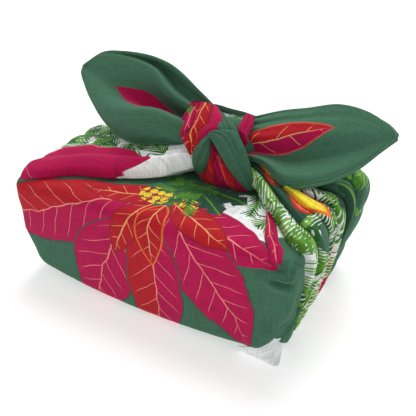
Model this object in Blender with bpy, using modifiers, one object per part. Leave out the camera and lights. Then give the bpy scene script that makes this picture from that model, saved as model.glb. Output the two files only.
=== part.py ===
"""Furoshiki wrap: one square of cotton folded round a flat parcel and tied on top.

The cloth is one piece, so it is one closed solid. The parcel's sides and top are smooth cloth, a
gathered band rises from each short end to a square knot, and the two corners of the square stand
out of the knot as ears. Metres, +Z up. The origin is the middle of the underside, +X runs along
the parcel towards the pleated band, and -Y is the side with the flower.
"""

import math
from collections import namedtuple

import bmesh
import bpy
from mathutils import Vector

MM = 0.001

# The wrapped parcel. Its left front corner is the softest, and its right end the squarest.
LENGTH = 0.240
WIDTH = 0.148
HEIGHT = 0.091
TOP_EDGE_RADIUS = 0.007
BOTTOM_EDGE_RADIUS = 0.010
LEFT_CORNER_RADIUS = 0.036
RIGHT_CORNER_RADIUS = 0.024
TOP_DOME = 0.003
SIDE_BULGE = 0.002
BODY_CUTS = 13

# The cloth where it stands free, with its sewn hem
CLOTH_THICKNESS = 0.002

# Fineness of the folds, in faces
BAND_AROUND, BAND_ALONG = 36, 26
STRAP_AROUND, STRAP_ALONG = 16, 15
EAR_ALONG, EAR_ACROSS = 12, 18

# The lofts: a fullness under 1 makes a section squarer at its edges, a band's pleats fade towards
# its edges over the first part of its height, and a closed end reaches its full section faster
# the higher its quickness.
SECTION_FULLNESS = 0.6
PLEAT_RISE = 3
END_QUICKNESS = 2.5
TANGENT_STEP = 0.02

# A section of a band, in millimetres: its middle, half its width, how far the upper side stands
# out and the under side goes in, the upper side's direction in degrees above level, and the share
# of their full height that its pleats have.
Band = namedtuple("Band", "x y z half_width crown depth turn pleated")

LEFT_BAND = (
    Band(-108, 0, 6, 30, 3, 7, -60, 0.2),
    Band(-118, 0, 9, 44, 3, 7, -15, 0.3),
    Band(-118, 0, 26, 56, 4, 6, -5, 0.5),
    Band(-118, 0, 52, 68, 4, 6, 0, 0.7),
    Band(-117, 0, 80, 72, 5, 8, 12, 0.8),
    Band(-111, 0, 93, 71, 8, 9, 55, 1.0),
    Band(-98, 1, 95, 67, 9, 9, 80, 1.0),
    Band(-75, 1, 96, 51, 11, 9, 86, 1.0),
    Band(-46, 0, 98, 43, 11, 11, 86, 1.0),
    Band(-15, 2, 101, 33, 11, 15, 84, 1.0),
    Band(5, 3, 106, 21, 10, 20, 82, 1.0),
    Band(20, 5, 110, 13, 8, 22, 80, 0.8),
)

RIGHT_BAND = (
    Band(104, 0, 6, 46, 3, 7, -60, 0.2),
    Band(112, 0, 9, 58, 3, 7, -15, 0.3),
    Band(114, 0, 25, 64, 4, 6, -5, 0.5),
    Band(117, 1, 50, 70, 5, 6, 0, 0.8),
    Band(120, 2, 77, 73, 6, 8, 10, 1.0),
    Band(116, 4, 91, 71, 8, 9, 45, 1.0),
    Band(105, 8, 94, 56, 7, 9, 72, 1.0),
    Band(92, 10, 96, 45, 7, 9, 80, 0.9),
    Band(79, 12, 99, 36, 8, 12, 82, 0.9),
    Band(65, 11, 104, 23, 9, 17, 82, 1.0),
    Band(50, 8, 109, 14, 8, 21, 80, 0.8),
)

# A pleat that runs along a band: where it lies across the band, from -1 at the front edge to 1 at
# the back edge, half its width as a share of the band's, and its height in millimetres.
Pleat = namedtuple("Pleat", "across half_width height")

LEFT_PLEATS = (
    Pleat(-0.78, 0.16, 2.0),
    Pleat(-0.25, 0.20, 1.6),
    Pleat(0.30, 0.16, 2.2),
    Pleat(0.74, 0.15, 2.0),
)

RIGHT_PLEATS = (
    Pleat(-0.84, 0.11, 3.2),
    Pleat(-0.52, 0.12, 3.4),
    Pleat(-0.14, 0.13, 2.8),
    Pleat(0.26, 0.12, 3.4),
    Pleat(0.84, 0.17, 8.0),
)

# The knot: a section of a strap, in millimetres: its two edges, and how far it stands out between
# them, away from a place behind the knot. Its under side is nearly flat, against the cloth inside.
KNOT_MIDDLE = Vector((33, 9, 117))
KNOT_CORE = Vector((24, 19, 29))
STRAPS_FACE_FROM = Vector((25, 45, 85))
STRAP_UNDERSIDE = 5
Strap = namedtuple("Strap", "left_x left_y left_z right_x right_y right_z crown")

STRAPS = {
    "left_turn": (
        Strap(-4, 18, 145, 17, 18, 146, 5),
        Strap(-8, 10, 138, 27, 6, 143, 7),
        Strap(-8, 2, 130, 31, -3, 138, 8),
        Strap(-3, -4, 124, 25, -9, 134, 8),
        Strap(5, -8, 119, 20, -12, 128, 6),
        Strap(9, -9, 114, 17, -13, 120, 4),
    ),
    "right_turn": (
        Strap(23, -10, 133, 27, -8, 138, 4),
        Strap(29, -13, 131, 37, -7, 140, 5),
        Strap(36, -16, 125, 46, -8, 140, 6),
        Strap(44, -17, 115, 55, -11, 129, 6),
        Strap(51, -14, 105, 60, -9, 113, 6),
        Strap(57, -8, 95, 62, -4, 98, 4),
    ),
    "top_turn": (
        Strap(9, 16, 141, 19, 18, 143, 4),
        Strap(14, 5, 137, 31, 10, 141, 5),
        Strap(20, -3, 135, 42, 1, 139, 5),
        Strap(26, -8, 132, 47, -4, 135, 3),
    ),
    "small_loop": (
        Strap(24, -9, 135, 27, -11, 131, 3),
        Strap(19, -12, 130, 28, -14, 125, 5),
        Strap(14, -13, 121, 28, -16, 119, 6),
        Strap(12, -12, 111, 25, -15, 111, 5),
        Strap(13, -8, 102, 21, -10, 103, 4),
    ),
    "front_fan": (
        Strap(23, -9, 130, 26, -9, 131, 2),
        Strap(23, -11, 121, 35, -12, 121, 4),
        Strap(20, -11, 109, 44, -13, 112, 5),
        Strap(14, -8, 99, 53, -12, 103, 5),
        Strap(19, -6, 92, 58, -6, 94, 4),
    ),
    "rear_fold": (
        Strap(-9, 21, 126, -5, 27, 142, 4),
        Strap(8, 25, 122, 7, 33, 142, 5),
        Strap(21, 27, 122, 19, 35, 140, 6),
        Strap(33, 25, 124, 33, 33, 140, 5),
        Strap(43, 21, 126, 45, 29, 140, 4),
    ),
    "rear_roll": (
        Strap(41, 20, 147, 49, 18, 147, 4),
        Strap(41, 10, 143, 52, 8, 142, 6),
        Strap(42, 2, 139, 52, -1, 136, 6),
        Strap(48, -4, 135, 54, -6, 131, 4),
    ),
}

# A fold line of an ear, from the knot to the tip. Across is up the leaning ear and out is towards
# the side that faces up and forwards, in millimetres, at each of the ear's stations.
Fold = namedtuple("Fold", "across out")

LEFT_EAR = {
    "root": Vector((2, 14, 126)),
    "yaw": 180.0,
    "lean": 35.0,
    "stations": (-18, 26, 53, 85, 111, 127, 132),
    "folds": (
        Fold((-14, -19, -24, -13, 6, 22, 29), (0, 4, 5, 4, 2, 0, 0)),
        Fold((-10, -12, -13, -4, 13, 26, 31), (3, 16, 19, 12, 6, 2, 0)),
        Fold((-5, 4, 3, 8, 21, 30, 33), (3, 23, 22, 10, 4, 2, 0)),
        Fold((0, 9, 13, 21, 30, 34, 34), (0, -10, -10, -4, -1, 0, 0)),
        Fold((5, 21, 38, 45, 45, 39, 36), (2, 10, 8, 4, 2, 1, 0)),
        Fold((10, 30, 45, 50, 49, 41, 37), (0, -5, -4, 0, 1, 0, 0)),
        Fold((14, 41, 50, 53, 50, 43, 38), (0, 6, 6, 3, 1, 0, 0)),
    ),
}

RIGHT_EAR = {
    "root": Vector((44, 10, 126)),
    "yaw": 10.0,
    "lean": 35.0,
    "stations": (-16, 18, 40, 62, 84, 98, 106),
    "folds": (
        Fold((-15, -16, -31, -27, -13, 4, 13), (2, 6, 10, 10, 6, 3, 2)),
        Fold((-10, -13, -22, -19, -6, 8, 14), (3, 13, 16, 14, 8, 4, 2)),
        Fold((-5, -7, -6, 0, 7, 13, 15), (0, 2, 0, 1, 3, 3, 2)),
        Fold((0, 4, 9, 13, 16, 17, 16), (2, 11, 11, 8, 6, 3, 2)),
        Fold((7, 17, 22, 27, 26, 22, 17), (1, 4, 5, 4, 4, 3, 2)),
        Fold((13, 26, 31, 36, 32, 25, 18), (-3, -2, 0, 1, 2, 2, 2)),
        Fold((8, 17, 24, 31, 31, 28, 21), (-8, -12, -11, -8, -4, -1, 1)),
    ),
}

CLOTH_GREEN = (0.075, 0.155, 0.09, 1.0)
CLOTH_ROUGHNESS = 0.85


def smooth(values, share):
    """The value at a share of the way through evenly spaced values, on a smooth curve."""
    place = min(max(share, 0.0), 1.0) * (len(values) - 1)
    low = min(int(place), len(values) - 2)
    t = place - low
    a = values[max(low - 1, 0)]
    b, c = values[low], values[low + 1]
    d = values[min(low + 2, len(values) - 1)]
    slope_b, slope_c = (c - a) / 2, (d - b) / 2
    return (
        b * (2 * t**3 - 3 * t**2 + 1)
        + slope_b * (t**3 - 2 * t**2 + t)
        + c * (3 * t**2 - 2 * t**3)
        + slope_c * (t**3 - t**2)
    )


def section(rows, share):
    """The section of a table at a share of the way along it."""
    return type(rows[0])(*(smooth(column, share) for column in zip(*rows)))


def clear_scene():
    for item in list(bpy.data.objects):
        bpy.data.objects.remove(item)


def collection(name):
    made = bpy.data.collections.new(name)
    bpy.context.scene.collection.children.link(made)
    return made


def finish_mesh(bm, name, place, where):
    """Moves each point of a primitive by place, and keeps it as an object."""
    for vertex in bm.verts:
        vertex.co = place(vertex.co.copy())
    bmesh.ops.recalc_face_normals(bm, faces=bm.faces)
    mesh = bpy.data.meshes.new(name)
    bm.to_mesh(mesh)
    bm.free()
    made = bpy.data.objects.new(name, mesh)
    where.objects.link(made)
    return made


def rounded_box_point(q):
    """The parcel's surface for a point q of the cube from -1 to 1, finest near its edges."""
    spread = Vector([math.sin(c * math.pi / 2) for c in q])
    half = Vector((LENGTH, WIDTH, HEIGHT)) / 2
    low, high = max(0.0, -spread.z), max(0.0, spread.z)
    at_corner = (spread.x * spread.y) ** 2
    corner = LEFT_CORNER_RADIUS if spread.x < 0 else RIGHT_CORNER_RADIUS
    radius = TOP_EDGE_RADIUS + low * (BOTTOM_EDGE_RADIUS - TOP_EDGE_RADIUS)
    radius += low * at_corner * (corner - BOTTOM_EDGE_RADIUS)
    full = Vector([s * h for s, h in zip(spread, half)])
    inner = Vector([max(-h + radius, min(h - radius, f)) for f, h in zip(full, half)])
    point = inner + (full - inner).normalized() * radius
    middle_x, middle_y = 1 - spread.x**2, 1 - spread.y**2
    point.z += half.z + TOP_DOME * high * middle_x * middle_y
    if abs(q.y) == 1:
        point.y += math.copysign(SIDE_BULGE, q.y) * middle_x * (1 - spread.z**2)
    return point


def wrapped_parcel(where):
    """The cloth drawn round the parcel, from a cube with rounded and softened edges."""
    bm = bmesh.new()
    bmesh.ops.create_cube(bm, size=2)
    bmesh.ops.subdivide_edges(bm, edges=bm.edges, cuts=BODY_CUTS, use_grid_fill=True)
    return finish_mesh(bm, "furoshiki_cloth", rounded_box_point, where)


def along_and_around(point):
    """Share along the axis, angle round it and end taper, for a point of a unit sphere."""
    share = (point.z + 1) / 2
    taper = min(1.0, END_QUICKNESS * math.sqrt(max(0.0, 1 - point.z**2)))
    return share, math.atan2(point.y, point.x), taper


def loft(name, around, along, place, where):
    """A closed loft: a sphere whose rings become sections and whose poles close the ends."""
    bm = bmesh.new()
    bmesh.ops.create_uvsphere(bm, u_segments=around, v_segments=along, radius=1)
    return finish_mesh(bm, name, place, where)


def band(name, rows, pleats, where):
    """A gathered band from under a short end, over the top edge and up into the knot."""

    def place(point):
        share, angle, taper = along_and_around(point)
        row = section(rows, share)
        across, out = math.cos(angle), math.sin(angle)
        side = math.copysign(1, rows[0].x)
        turn = math.radians(row.turn)
        outward = Vector((side * math.cos(turn), 0, math.sin(turn)))
        middle = Vector((row.x, row.y, row.z))
        if out < 0:
            height = -row.depth * abs(out) ** SECTION_FULLNESS
        else:
            height = row.crown * out**SECTION_FULLNESS
            rise = row.pleated * min(1, PLEAT_RISE * out)
            for pleat in pleats:
                away = (across - pleat.across) / pleat.half_width
                height += pleat.height * rise * math.exp(-away * away)
        across_way = Vector((0, row.half_width * across * taper, 0))
        return (middle + across_way + outward * height * taper) * MM

    return loft(name, BAND_AROUND, BAND_ALONG, place, where)


def strap_middle(rows, share):
    """The middle and the half width of a strap, a share of the way along it."""
    row = section(rows, share)
    left = Vector((row.left_x, row.left_y, row.left_z))
    right = Vector((row.right_x, row.right_y, row.right_z))
    return (left + right) / 2, (right - left) / 2


def strap(name, rows, where):
    """One turn of the knot: a flattened strand between its two edges."""

    def place(point):
        share, angle, taper = along_and_around(point)
        middle, half = strap_middle(rows, share)
        ahead, _ = strap_middle(rows, share + TANGENT_STEP)
        behind, _ = strap_middle(rows, share - TANGENT_STEP)
        outward = half.cross(ahead - behind).normalized()
        if outward.dot(middle - STRAPS_FACE_FROM) < 0:
            outward.negate()
        over, out = math.cos(angle), math.sin(angle)
        crown = section(rows, share).crown
        height = out * (crown if out > 0 else min(crown, STRAP_UNDERSIDE))
        return (middle + (half * over + outward * height) * taper) * MM

    return loft(name, STRAP_AROUND, STRAP_ALONG, place, where)


def knot_core(where):
    """The cloth hidden inside the knot."""

    def place(point):
        return (KNOT_MIDDLE + Vector([k * p for k, p in zip(KNOT_CORE, point)])) * MM

    return loft("knot_core", STRAP_AROUND, STRAP_ALONG, place, where)


def ear(name, shape, where):
    """A free corner of the square: one sheet with soft folds that run together at the knot."""
    yaw, lean = math.radians(shape["yaw"]), math.radians(shape["lean"])
    along = Vector((math.cos(yaw), math.sin(yaw), 0))
    up = Vector((0, math.sin(lean), math.cos(lean)))
    out = along.cross(up)
    if out.z < 0:
        out.negate()

    def place(point):
        share, over = (point.x + 1) / 2, (point.y + 1) / 2
        across = smooth([smooth(fold.across, share) for fold in shape["folds"]], over)
        lift = smooth([smooth(fold.out, share) for fold in shape["folds"]], over)
        distance = smooth(shape["stations"], share)
        return (shape["root"] + along * distance + up * across + out * lift) * MM

    bm = bmesh.new()
    bmesh.ops.create_grid(bm, x_segments=EAR_ALONG, y_segments=EAR_ACROSS, size=1)
    made = finish_mesh(bm, name, place, where)
    shell = made.modifiers.new("cloth", "SOLIDIFY")
    shell.thickness = CLOTH_THICKNESS
    shell.offset = 0
    return made


def join(whole, folds):
    """Fuses the folded parts of the one cloth into a single solid."""
    for piece in folds.objects:
        piece.hide_render = True
        piece.display_type = "WIRE"
    union = whole.modifiers.new("one_cloth", "BOOLEAN")
    union.operation = "UNION"
    union.solver = "EXACT"
    union.operand_type = "COLLECTION"
    union.collection = folds


def cotton():
    """Dark green printed cotton."""
    made = bpy.data.materials.new("printed_cotton")
    made.use_nodes = True
    shader = made.node_tree.nodes["Principled BSDF"]
    shader.inputs["Base Color"].default_value = CLOTH_GREEN
    shader.inputs["Roughness"].default_value = CLOTH_ROUGHNESS
    shader.inputs["Metallic"].default_value = 0.0
    return made


def main():
    clear_scene()
    wrap = collection("furoshiki_wrap")
    folds = collection("folds_to_fuse")
    whole = wrapped_parcel(wrap)
    band("left_band", LEFT_BAND, LEFT_PLEATS, folds)
    band("right_band", RIGHT_BAND, RIGHT_PLEATS, folds)
    knot_core(folds)
    for name, rows in STRAPS.items():
        strap(name, rows, folds)
    ear("left_ear", LEFT_EAR, folds)
    ear("right_ear", RIGHT_EAR, folds)
    join(whole, folds)
    whole.data.materials.append(cotton())
    whole.data.shade_smooth()


main()
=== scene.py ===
"""A furoshiki wrap: one square of printed slub cotton, folded round a flat parcel and tied on top.

Sizes are in millimetres until a mesh is made. +X runs along the parcel towards the pleated band,
-Y is the side with the flower, and the origin is the middle of the underside.
"""

import math
from collections import namedtuple

import bmesh
import bpy
import numpy as np
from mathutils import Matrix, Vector, noise


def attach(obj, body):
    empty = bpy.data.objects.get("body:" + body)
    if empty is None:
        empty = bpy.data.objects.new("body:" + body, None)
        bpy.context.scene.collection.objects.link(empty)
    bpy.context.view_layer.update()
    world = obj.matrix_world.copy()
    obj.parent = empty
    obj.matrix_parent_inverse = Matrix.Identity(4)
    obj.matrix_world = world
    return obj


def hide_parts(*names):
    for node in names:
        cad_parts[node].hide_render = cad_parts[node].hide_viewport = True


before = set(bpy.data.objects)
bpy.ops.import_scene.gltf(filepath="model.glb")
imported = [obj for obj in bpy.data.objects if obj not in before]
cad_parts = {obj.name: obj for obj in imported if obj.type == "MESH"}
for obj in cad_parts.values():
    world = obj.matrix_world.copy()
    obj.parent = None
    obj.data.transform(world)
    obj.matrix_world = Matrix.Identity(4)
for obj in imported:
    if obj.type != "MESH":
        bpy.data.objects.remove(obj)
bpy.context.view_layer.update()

MM = 0.001
BODY = "root"
CAD_CLOTH = "furoshiki_cloth"

# The wrapped parcel, as in its solid
LENGTH, WIDTH, HEIGHT = 240.0, 148.0, 91.0
TOP_EDGE_RADIUS = 7.0
BOTTOM_EDGE_RADIUS = 10.0
LEFT_CORNER_RADIUS = 36.0
RIGHT_CORNER_RADIUS = 32.0
TOP_DOME = 3.0
SIDE_BULGE = 2.0
RIGHT_END_TAPER = 8.0

CLOTH_THICKNESS = 0.7
HEM_WIDTH = 3.2
HEM_THICKNESS = 1.7

# The camera's distance and aim were found from the parcel's corners
CAMERA_AZIMUTH, CAMERA_ELEVATION = 28.97, 30.68
CAMERA_DISTANCE = 0.4687
CAMERA_AIM = Vector((0.00183, 0.02912, 0.0450))
CAMERA_LENS = 45.0

FLOOR_REACH = 6
FLOOR_DROP = 0.0003
FLOOR_PAINT = (0.62, 0.62, 0.62, 1)
FLOOR_GLOW = 0.52

# Light from the whole room, and a soft one from above and a little behind
SKY = 0.62
OVERHEAD = 1.7
OVERHEAD_SOFTNESS = 30.0
OVERHEAD_FROM = (-0.1, 0.45, 0.9)


# Smooth curves through the rows of a table

def smooth(values, share):
    """The values at shares of the way through evenly spaced values, on a smooth curve."""
    values = np.asarray(values, float)
    share = np.clip(np.asarray(share, float), 0, 1)
    place = share * (len(values) - 1)
    low = np.minimum(place.astype(int), len(values) - 2)
    t = place - low
    a = values[np.maximum(low - 1, 0)]
    b, c = values[low], values[low + 1]
    d = values[np.minimum(low + 2, len(values) - 1)]
    t = t.reshape(t.shape + (1,) * (values.ndim - 1))
    return (
        b * (2 * t**3 - 3 * t**2 + 1)
        + (c - a) / 2 * (t**3 - 2 * t**2 + t)
        + c * (3 * t**2 - 2 * t**3)
        + (d - b) / 2 * (t**3 - t**2)
    )


def section(rows, share):
    """The section of a table at shares of the way along it."""
    return type(rows[0])(*(smooth(column, share) for column in zip(*rows)))


def spread(count, softness=1.0):
    """Shares from 0 to 1, closer together at both ends for a softness of 1."""
    even = np.linspace(0, 1, count)
    return even + softness * ((1 - np.cos(math.pi * even)) / 2 - even)


def unit(v):
    return v / np.maximum(np.linalg.norm(v, axis=-1, keepdims=True), 1e-9)


def rough(points, scale, seed=0.0):
    """Soft noise from -1 to 1 at each point, for a grain of that size in millimetres."""
    flat = points.reshape(-1, points.shape[-1]) / scale
    found = [noise.noise(Vector((p[0] + seed, p[1], p[2]))) for p in flat]
    return np.array(found).reshape(points.shape[:-1])


# Pieces of cloth

def lengths(points, axis):
    """The distance run along one way of a grid, at each of its points."""
    steps = np.linalg.norm(np.diff(points, axis=axis), axis=-1)
    start = np.zeros_like(np.take(steps, [0], axis=axis))
    return np.concatenate([start, np.cumsum(steps, axis=axis)], axis=axis)


def keep_print(mesh, places):
    """Stores where each face corner lies on the printed square, in millimetres."""
    stored = mesh.attributes.new("on_print", "FLOAT_VECTOR", "CORNER")
    full = np.zeros((len(places), 3), np.float32)
    full[:, : places.shape[1]] = places
    stored.data.foreach_set("vector", full.ravel())


def finish_cloth(mesh, name, cotton):
    """Makes a mesh one piece of the cloth, with its finish and its body."""
    mesh.shade_smooth()
    mesh.materials.append(cotton)
    piece = bpy.data.objects.new(name, mesh)
    bpy.context.scene.collection.objects.link(piece)
    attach(piece, BODY)
    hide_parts(CAD_CLOTH)
    return piece


def thicken(piece, thickness, weights=None):
    """Gives a sheet its thickness, less where its weights are under 1."""
    shell = piece.modifiers.new("thickness", "SOLIDIFY")
    shell.thickness = thickness * MM
    shell.offset = 0
    if weights is not None:
        group = piece.vertex_groups.new(name="hem")
        for index, weight in enumerate(weights):
            group.add([index], float(weight), "REPLACE")
        shell.vertex_group = "hem"
    return shell


def grid_mesh(name, points, prints, ring=False):
    """A mesh from a grid of points. A ring closes on itself across, and has closed ends.

    The prints are places on the square at each face's corners, or at each point of the grid.
    """
    rows, columns = points.shape[:2]
    corner = np.arange(rows * columns).reshape(rows, columns)
    after = np.roll(corner, -1, axis=1) if ring else corner[:, 1:]
    before = corner if ring else corner[:, :-1]
    quads = np.stack([before[:-1], after[:-1], after[1:], before[1:]], axis=-1).reshape(-1, 4)
    vertices = points.reshape(-1, 3) * MM
    mesh = bpy.data.meshes.new(name)
    faces = [tuple(int(i) for i in q) for q in quads]
    if ring:
        faces.append(tuple(int(i) for i in corner[0][::-1]))
        faces.append(tuple(int(i) for i in corner[-1]))
    mesh.from_pydata([tuple(v) for v in vertices], [], faces)
    mesh.update()
    places = prints.reshape(-1, prints.shape[-1])[[loop.vertex_index for loop in mesh.loops]]
    keep_print(mesh, places)
    return mesh


# The parcel's own skin

def parcel_skin(q, lift):
    """Points of the parcel's skin for directions q from the cube of -1 to 1, lifted off it."""
    half = np.array([LENGTH, WIDTH, HEIGHT]) / 2
    low, high = np.maximum(0, -q[..., 2]), np.maximum(0, q[..., 2])
    at_corner = (q[..., 0] * q[..., 1]) ** 2
    corner = np.where(q[..., 0] < 0, LEFT_CORNER_RADIUS, RIGHT_CORNER_RADIUS)
    radius = TOP_EDGE_RADIUS + low * (BOTTOM_EDGE_RADIUS - TOP_EDGE_RADIUS)
    radius = radius + low * at_corner * (corner - BOTTOM_EDGE_RADIUS)
    full = q * half
    inner = np.clip(full, -half + radius[..., None], half - radius[..., None])
    point = inner + unit(full - inner) * (radius + lift)[..., None]
    middle_x, middle_y = 1 - q[..., 0] ** 2, 1 - q[..., 1] ** 2
    point[..., 2] += half[2] + TOP_DOME * high * middle_x * middle_y
    under = np.clip(1 - point[..., 2] / HEIGHT, 0, 1)
    point[..., 0] -= RIGHT_END_TAPER * under**1.3 * np.clip(q[..., 0], 0, 1) ** 4
    on_side = np.where(np.abs(q[..., 1]) > 0.9999, np.sign(q[..., 1]), 0)
    point[..., 1] += SIDE_BULGE * on_side * middle_x * (1 - q[..., 2] ** 2)
    return point


def skin_at(u, v, lift):
    """The parcel's skin at places on the print: u along it, v over the top and down its front."""
    over = np.clip(v, -WIDTH / 2, WIDTH / 2)
    down = np.clip(-WIDTH / 2 - v, 0, HEIGHT)
    under = np.maximum(0, -WIDTH / 2 - HEIGHT - v)
    beside = np.maximum(0, np.abs(u) - LENGTH / 2)
    x = np.clip(u / (LENGTH / 2), -1, 1)
    y = (over + under + np.where(v < -WIDTH / 2, beside, 0)) / (WIDTH / 2)
    z = 1 - 2 * (down + np.where(v < -WIDTH / 2, 0, beside)) / HEIGHT
    return parcel_skin(np.stack([x, y, z], axis=-1), lift)


# Bands

Band = namedtuple("Band", "x y z half_width crown depth turn pleated")

LEFT_BAND = (
    Band(-108, 0, 6, 30, 3, 7, -60, 0.2),
    Band(-118, 0, 9, 44, 3, 7, -15, 0.3),
    Band(-118, 0, 26, 56, 4, 6, -5, 0.5),
    Band(-118, 0, 52, 68, 4, 6, 0, 0.7),
    Band(-117, 0, 80, 72, 5, 8, 12, 0.8),
    Band(-111, 0, 93, 71, 8, 9, 55, 1.0),
    Band(-98, 1, 95, 67, 9, 9, 80, 1.0),
    Band(-75, 1, 96, 51, 11, 9, 86, 1.0),
    Band(-46, 0, 98, 43, 11, 11, 86, 1.0),
    Band(-15, 2, 101, 33, 11, 15, 84, 1.0),
    Band(5, 3, 106, 21, 10, 20, 82, 1.0),
    Band(20, 5, 110, 13, 8, 22, 80, 0.8),
)

RIGHT_BAND = (
    Band(104, 0, 6, 46, 3, 7, -60, 0.2),
    Band(112, 2, 9, 60, 3, 7, -15, 0.3),
    Band(114, 4, 25, 66, 4, 6, -5, 0.6),
    Band(117, 10, 50, 60, 5, 6, 0, 0.9),
    Band(120, 12, 77, 61, 6, 8, 10, 1.0),
    Band(116, 10, 91, 65, 8, 9, 45, 1.0),
    Band(105, 8, 94, 56, 7, 9, 72, 1.0),
    Band(92, 10, 96, 45, 7, 9, 80, 0.9),
    Band(79, 12, 99, 36, 8, 12, 82, 0.9),
    Band(65, 11, 104, 23, 9, 17, 82, 1.0),
    Band(50, 8, 109, 14, 8, 21, 80, 0.8),
)

# A pleat: where it ends across the band, from -1 at the front to 1 at the back, how high its fold
# stands, and how far the fold hangs over the pleat before it. A soft pleat is only a ridge.
Pleat = namedtuple("Pleat", "until height overhang soft")

LEFT_PLEATS = (
    Pleat(-0.62, 2.6, 0.0, 1.0),
    Pleat(-0.28, 1.6, 0.0, 1.0),
    Pleat(0.10, 1.8, 0.0, 1.0),
    Pleat(0.52, 2.4, 0.0, 1.0),
    Pleat(1.0, 2.4, 0.0, 1.0),
)

RIGHT_PLEATS = (
    Pleat(-0.76, 4.4, 4.0, 0.0),
    Pleat(-0.50, 5.0, 4.4, 0.0),
    Pleat(-0.20, 5.0, 4.4, 0.0),
    Pleat(0.14, 5.4, 4.4, 0.0),
    Pleat(0.50, 6.4, 4.6, 0.1),
    Pleat(1.0, 8.6, 4.6, 0.3),
)

BAND_STEPS = 120
PLEAT_STEPS = 26
PLEAT_PRINT = 60.0

# A pleat's fold: where its crease lies across the pleat, and how soon it rises from it
FOLD_RISE = 0.14
FOLD_LIP = 0.12
FOLD_LIP_WIDTH = 0.16
PLEAT_CLOTH = 36.0

# Unevenness of the bands, in millimetres: the pleats' wander, the grain of the cloth, the fine
# wrinkles, and the puffs along the far side of the right band
PLEATS_WANDER = 1.6
GRAIN_SIZE, GRAIN_HEIGHT = 8.0, 0.9
WRINKLE_SIZE, WRINKLE_HEIGHT = 3.0, 0.5
PUFF_PITCH, PUFF_OUT, PUFF_BACK = 0.125, 2.2, 5.0
TURNED_UNDER_DEPTH = 9.0


def pleat_rows(pleats):
    """Across the whole band: place, height, overhang, and the print's place across the pleats."""
    q = spread(PLEAT_STEPS, 0.8)
    rows, start = [], -1.0
    for index, pleat in enumerate(pleats):
        ridge = np.sin(math.pi * q) ** 1.4
        fold = np.minimum(1, q / FOLD_RISE) ** 0.6 * ((1 - q) ** 0.8 * 1.35 - 0.35)
        height = pleat.height * (pleat.soft * ridge + (1 - pleat.soft) * fold)
        over = pleat.overhang * np.exp(-(((q - FOLD_LIP) / FOLD_LIP_WIDTH) ** 2))
        width = PLEAT_CLOTH * (pleat.until - start)
        across = start + (pleat.until - start) * q
        rows.append((across, height, over, PLEAT_PRINT * index + q * width))
        start = pleat.until
    return [np.concatenate(parts)[None, :] for parts in zip(*rows)]


def band_points(rows, pleats, side):
    """The grid of a gathered band from under a short end up into the knot, and its print."""
    share = spread(BAND_STEPS, 0.0)[:, None]
    across, height, over, printed = pleat_rows(pleats)
    row = section(rows, share)
    turn = np.radians(row.turn)
    outward = np.stack([side * np.cos(turn), 0 * turn, np.sin(turn)], axis=-1)
    middle = np.stack([row.x, row.y, row.z], axis=-1)
    out = np.sqrt(np.maximum(0, 1 - across**2))
    uneven = 1 + 0.4 * np.sin(share * 12 + across * 9) * np.sin(share * 5 - across * 5)
    tight = 1 + 0.8 * np.exp(-((1 - share) / 0.25) ** 2) * (side < 0)
    raised = np.minimum(1, 3 * out + 0.25)
    lifted = row.crown * out**0.6 + row.pleated * height * uneven * tight * raised
    points = middle + outward * lifted[..., None]
    wander = PLEATS_WANDER * np.sin(share * 7 + across * 6) * np.minimum(1, 3 * out)
    gathered = np.minimum(1, row.half_width / 40)
    points[..., 1] += row.half_width * across - over * row.pleated * gathered + wander * gathered
    if side > 0:
        puff = np.abs(np.sin(math.pi * (share - 0.12) / PUFF_PITCH))
        puff = puff * np.clip((0.56 - share) / 0.1, 0, 1)
        puff = puff * np.clip((across - 0.4) / 0.5, 0, 1)
        back = np.stack([0 * puff, PUFF_BACK * puff, 0 * puff], axis=-1)
        points = points + outward * (PUFF_OUT * puff)[..., None] + back
    grain = rough(points * [0.22, 1, 0.22], GRAIN_SIZE, side)
    fine = rough(points * [0.12, 1, 0.12], WRINKLE_SIZE, side + 7)
    near = 0.4 + 1.2 * np.exp(-((1 - share) / 0.22) ** 2)
    points = points + outward * (GRAIN_HEIGHT * grain + WRINKLE_HEIGHT * fine * near)[..., None]
    half = points.shape[1] // 2
    run = lengths(points[:, half : half + 1], 0)
    run = np.broadcast_to(run[-1:] - run, points.shape[:2])
    printed = np.broadcast_to(printed if side > 0 else points[..., 1], points.shape[:2])
    prints = np.stack([run, printed], axis=-1)
    return turned_under(points, prints, outward, row)


def turned_under(points, prints, outward, row):
    """Adds rows of points along each side of a band, folded under it."""
    deep = outward * np.minimum(row.depth, TURNED_UNDER_DEPTH)[..., None]
    inward = np.zeros_like(points[:, :1])
    inward[..., 1] = 1.0
    rim = 1.4 * inward
    front = [
        points[:, :1] - deep + 16 * inward,
        points[:, :1] - deep * 0.45 + 5 * inward,
        points[:, :1] - deep * 0.22 - 0.4 * rim,
    ]
    back = [points[:, -1:] - deep * 0.3 + 0.4 * rim, points[:, -1:] - deep - 3 * inward]
    wide = np.concatenate([*front, points, *back], axis=1)
    edge = [prints[:, :1] - [0, d] for d in (9, 5, 2)]
    far = [prints[:, -1:] + [0, d] for d in (3, 9)]
    return wide, np.concatenate([*edge, prints, *far], axis=1)


def band(name, rows, pleats, side, cotton):
    points, prints = band_points(rows, pleats, side)
    mesh = grid_mesh(name, points, prints)
    if side < 0:
        mesh.flip_normals()
    return finish_cloth(mesh, name, cotton)


# The front of the cloth, between the bands

PANEL_ALONG, PANEL_DOWN = 210, 120
PANEL_TOP, PANEL_FOOT = -14.0, -171.0
PANEL_LEFT = -128.0
PANEL_LIFT = 0.9

# The panel's rolled right edge, its slow unevenness and its fine wrinkles
EDGE_ROLL, EDGE_ROLL_WIDTH = 0.8, 3.0
SWELL_SIZE, SWELL_HEIGHT = 16.0, 0.35
RIPPLE_SIZE, RIPPLE_HEIGHT = 4.0, 0.12

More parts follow.
